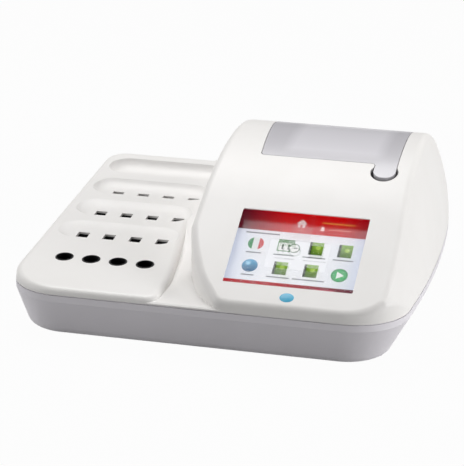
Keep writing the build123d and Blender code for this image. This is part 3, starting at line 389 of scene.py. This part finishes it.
tricolour((columns[0], rows[0]))
calendar((columns[1], rows[0]))
notebook((columns[2], rows[0]))
notebook((columns[3], rows[0]))
globe((columns[0], rows[1]))
notebook((columns[1], rows[1]))
notebook((columns[2], rows[1]))
go_arrow((columns[3], rows[1] - 1.5))
house((-2.0, 29.0))
bar = colour(226, 130, 120)
paint(box_mask(u, v, -4.4, 0.4, 21.6, 22.4, 0.5), bar)
paint(box_mask(u, v, 14.0, 40.0, 31.0, 32.2, 0.6), colour(226, 150, 60))
paint(box_mask(u, v, 20.0, 38.0, 24.6, 25.8, 0.6), bar)
paint(disc_mask(u, v, (15.2, 26.2), 1.3), colour(246, 226, 226))
paint(box_mask(u, v, 13.4, 17.0, 23.6, 24.9, 0.4), colour(246, 226, 226))
paint(box_mask(u, v, 20.0, 36.0, -35.2, -34.4, 0.6), colour(200, 90, 110))
display.set(Base_Color=colour(12, 12, 14), Emission_Color=picture, Emission_Strength=0.92)
dress(display, "display_panel")
print("screen nodes", len(display.tree.nodes))

# %% [markdown]
# ## What is inside
# Most inner pieces show only when the lid is open, or through the wells and the slots below. They
# still get the finish of the real ones: plated sheet, ground rubber, paper, lacquered boards.

# %% Metal, rubber and boards
def plated(name, base, shade, rough, line=0.4):
    made = finish(name, Metallic=1.0)
    xyz, point = made.place()
    streak = made.node("ShaderNodeMapping", None, {"Vector": point, "Scale": (0.05, 1.0 / line, 1.0 / line)})
    brushed = made.node("ShaderNodeTexNoise", None, {"Vector": streak, "Scale": 1.0, "Detail": 2.0})
    made.set(
        Base_Color=made.mix(brushed, base, shade),
        Roughness=rough + (brushed - 0.5) * 0.15,
        Normal=made.bump(brushed, 0.000006),
    )
    return made


sheet = plated("plated_sheet", colour(176, 178, 182), colour(196, 198, 202), 0.34)
dress(sheet, "display_bracket", "printer_frame", "usb_ports", "feed_motor")
steel = plated("screw_steel", colour(150, 150, 154), colour(186, 186, 190), 0.3, line=0.2)
dress(steel, "shell_screws", "block_screws", "board_screws", "bracket_screws", "lid_pins")

rubber = moulded("foot_rubber", colour(36, 36, 38), colour(46, 46, 48), rough=0.75, depth=0.00002)
dress(rubber, "rubber_feet", "platen_roller")
silicone = moulded("pad_rubber", colour(170, 84, 40), colour(150, 70, 34), rough=0.6)
dress(silicone, "heater_pad")
nylon = moulded("gear_plastic", colour(228, 226, 214), colour(218, 216, 204), rough=0.42)
dress(nylon, "idler_gear", "motor_pinion")
bay = moulded("bay_plastic", colour(176, 174, 178), colour(166, 164, 168), rough=0.52)
dress(bay, "printer_bay")
rocker = moulded("rocker_plastic", colour(22, 22, 24), colour(28, 28, 30), rough=0.3, depth=0.000006)
dress(rocker, "switch_rocker")

board = finish("board_laminate", Coat_Weight=0.5, Coat_Roughness=0.15)
(x, y, z), point = board.place()
tracks = board.cells(point, 3.2)
board.set(
    Base_Color=board.mix((tracks - 0.3) * 2.0, colour(24, 92, 52), colour(14, 68, 38)),
    Roughness=0.35 + tracks * 0.1,
    Normal=board.bump(tracks, 0.00003),
)
dress(board, "main_board", "power_board", "led_board", "detector_board")

# %% [markdown]
# The paper roll is wound in hundreds of turns, so its ends show fine rings and its outside is
# smooth. The rings follow the distance from the roll's own axis.

# %% Paper
paper = finish("roll_paper")
(x, y, z), point = paper.place()
turn = ((y - 54.0) ** 2.0 + (z - 99.0) ** 2.0) ** 0.5
rings = paper.node("ShaderNodeMath", {"operation": "SINE"}, {0: turn * 9.0}) * 0.5 + 0.5
paper.set(
    Base_Color=paper.mix(rings, colour(240, 240, 238), colour(226, 226, 224)),
    Roughness=0.62 + paper.noise(point, 2.0) * 0.1,
)
dress(paper, "paper_roll")

# %% [markdown]
# ## The printed roundel
# Below the screen the face carries a small printed oval. It is kept plain. Real pad printing is a
# few hundredths of a millimetre thick, so it is a thin plate with a bevelled rim laid on the face.

# %% Roundel
def on_face(u_at, v_at, rise):
    """A point over the sloped face, in metres, from flat coordinates in millimetres."""
    s, c = sin(screen_slope), cos(screen_slope)
    return Vector((
        screen_middle[0] + u_at, screen_middle[1] + v_at * c - rise * s, screen_middle[2] + v_at * s + rise * c,
    )) / 1000


def oval(name, middle, half_u, half_v, rise, steps=64):
    rings = [(0.0, rise), (0.97, rise), (1.0, rise * 0.4), (1.0, -0.05)]
    points = [on_face(middle[0], middle[1], rise)]
    for share, height in rings[1:]:
        for step in range(steps):
            angle = 2 * pi * step / steps
            points.append(on_face(
                middle[0] + half_u * share * cos(angle), middle[1] + half_v * share * sin(angle), height
            ))
    faces = [(0, 1 + i, 1 + (i + 1) % steps) for i in range(steps)]
    for ring in range(2):
        low = 1 + ring * steps
        for i in range(steps):
            j = (i + 1) % steps
            faces.append((low + i, low + steps + i, low + steps + j, low + j))
    mesh = bpy.data.meshes.new(name)
    mesh.from_pydata(points, [], faces)
    mesh.shade_smooth()
    made = bpy.data.objects.new(name, mesh)
    bpy.context.collection.objects.link(made)
    return made


roundel = oval("face_roundel", (2.0, -47.6), 5.6, 4.4, 0.06)
print_ink = finish("roundel_ink")
(x, y, z), point = print_ink.place()
shade = print_ink.noise(point, 3.0)
print_ink.set(
    Base_Color=print_ink.mix(shade, colour(40, 160, 200), colour(70, 178, 212)), Roughness=0.3 + shade * 0.1,
)
roundel.data.materials.append(print_ink.material)
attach(roundel, "housing")

# %% [markdown]
# ## Floor and light
# The object stands on white in soft studio light. The floor is pale and matt, so that it throws
# light up under the housing. To the camera it is shown whiter than it is lit: a part of its shader
# is plain white light wherever a ray comes straight from the camera, a mirror or glass.

# %% Floor
def flat_plate(name, size, height):
    mesh = bpy.data.meshes.new(name)
    mesh.from_pydata([(-size, -size, height), (size, -size, height), (size, size, height), (-size, size, height)],
                     [], [(0, 1, 2, 3)])
    made = bpy.data.objects.new(name, mesh)
    bpy.context.collection.objects.link(made)
    return made


floor = flat_plate("floor", 6.0, -0.0002)
floor_paint = Finish("floor_paint", Base_Color=(0.32, 0.32, 0.32, 1.0), Roughness=0.9, Specular_IOR_Level=0.0)
path = floor_paint.tree.nodes.new("ShaderNodeLightPath")
seen = [Value(floor_paint, path.outputs[n]) for n in ("Is Camera Ray", "Is Glossy Ray", "Is Transmission Ray")]
white_light = floor_paint.node("ShaderNodeEmission", None, {"Color": (1.0, 1.0, 1.0, 1.0), "Strength": 1.0})
shown = floor_paint.node(
    "ShaderNodeMixShader", None,
    {0: (seen[0] + seen[1] + seen[2]).clamped() * 0.97, 1: Value(floor_paint, floor_paint.shader.outputs[0]),
     2: white_light},
)
floor_paint.plug(floor_paint.output.inputs["Surface"], shown)
floor.data.materials.append(floor_paint.material)

# %% World
world = bpy.data.worlds.new("studio")
bpy.context.scene.world = world
world.use_nodes = True
tree = world.node_tree
surroundings = tree.nodes["Background"]
surroundings.inputs["Color"].default_value = (1.0, 1.0, 1.0, 1.0)
surroundings.inputs["Strength"].default_value = 0.08
backdrop = tree.nodes.new("ShaderNodeBackground")
backdrop.inputs["Strength"].default_value = 1.0
rays = tree.nodes.new("ShaderNodeLightPath")
chooser = tree.nodes.new("ShaderNodeMixShader")
tree.links.new(rays.outputs["Is Camera Ray"], chooser.inputs[0])
tree.links.new(surroundings.outputs[0], chooser.inputs[1])
tree.links.new(backdrop.outputs[0], chooser.inputs[2])
tree.links.new(chooser.outputs[0], tree.nodes["World Output"].inputs["Surface"])


# %% Lamps
def softbox(name, place, target, size, power):
    lamp = bpy.data.lights.new(name, "AREA")
    lamp.shape = "RECTANGLE"
    lamp.size, lamp.size_y = size
    lamp.energy = power
    made = bpy.data.objects.new(name, lamp)
    made.location = place
    made.rotation_euler = (Vector(target) - Vector(place)).to_track_quat("-Z", "Y").to_euler()
    bpy.context.collection.objects.link(made)
    return made


softbox("top_softbox", (-0.3, 0.45, 1.4), (-0.05, 0.0, 0.05), (1.0, 0.9), 18.0)
softbox("right_softbox", (1.5, 0.1, 0.75), (0.1, 0.0, 0.08), (1.0, 1.0), 9.0)
softbox("low_right_softbox", (1.4, -0.4, 0.25), (0.1, 0.0, 0.03), (0.5, 0.4), 9.0)
softbox("left_softbox", (-1.3, -0.8, 0.4), (-0.12, 0.0, 0.03), (0.6, 0.5), 8.0)

# %% [markdown]
# ## Camera
# The photograph was taken from the front, a little to the right, from about one and a half metres,
# with a long lens. The place and the turn were solved from points that show in both, so the camera
# is given as a position and its three directions.

# %% Camera
camera_data = bpy.data.cameras.new("camera")
camera = bpy.data.objects.new("camera", camera_data)
right = Vector((0.96727168, 0.25360566, 0.00834626))
up = Vector((-0.08986847, 0.31163397, 0.94594288))
behind = Vector((0.23729549, -0.91573383, 0.32422586))
turn = Matrix((right, up, behind)).transposed().to_4x4()
camera.matrix_world = Matrix.Translation((0.400865, -1.585879, 0.612707)) @ turn
camera_data.sensor_width = 36.0
camera_data.lens = 2093.377 / 466 * 36.0
camera_data.clip_end = 30.0
bpy.context.collection.objects.link(camera)
bpy.context.scene.camera = camera
bpy.context.scene.view_settings.view_transform = "Standard"
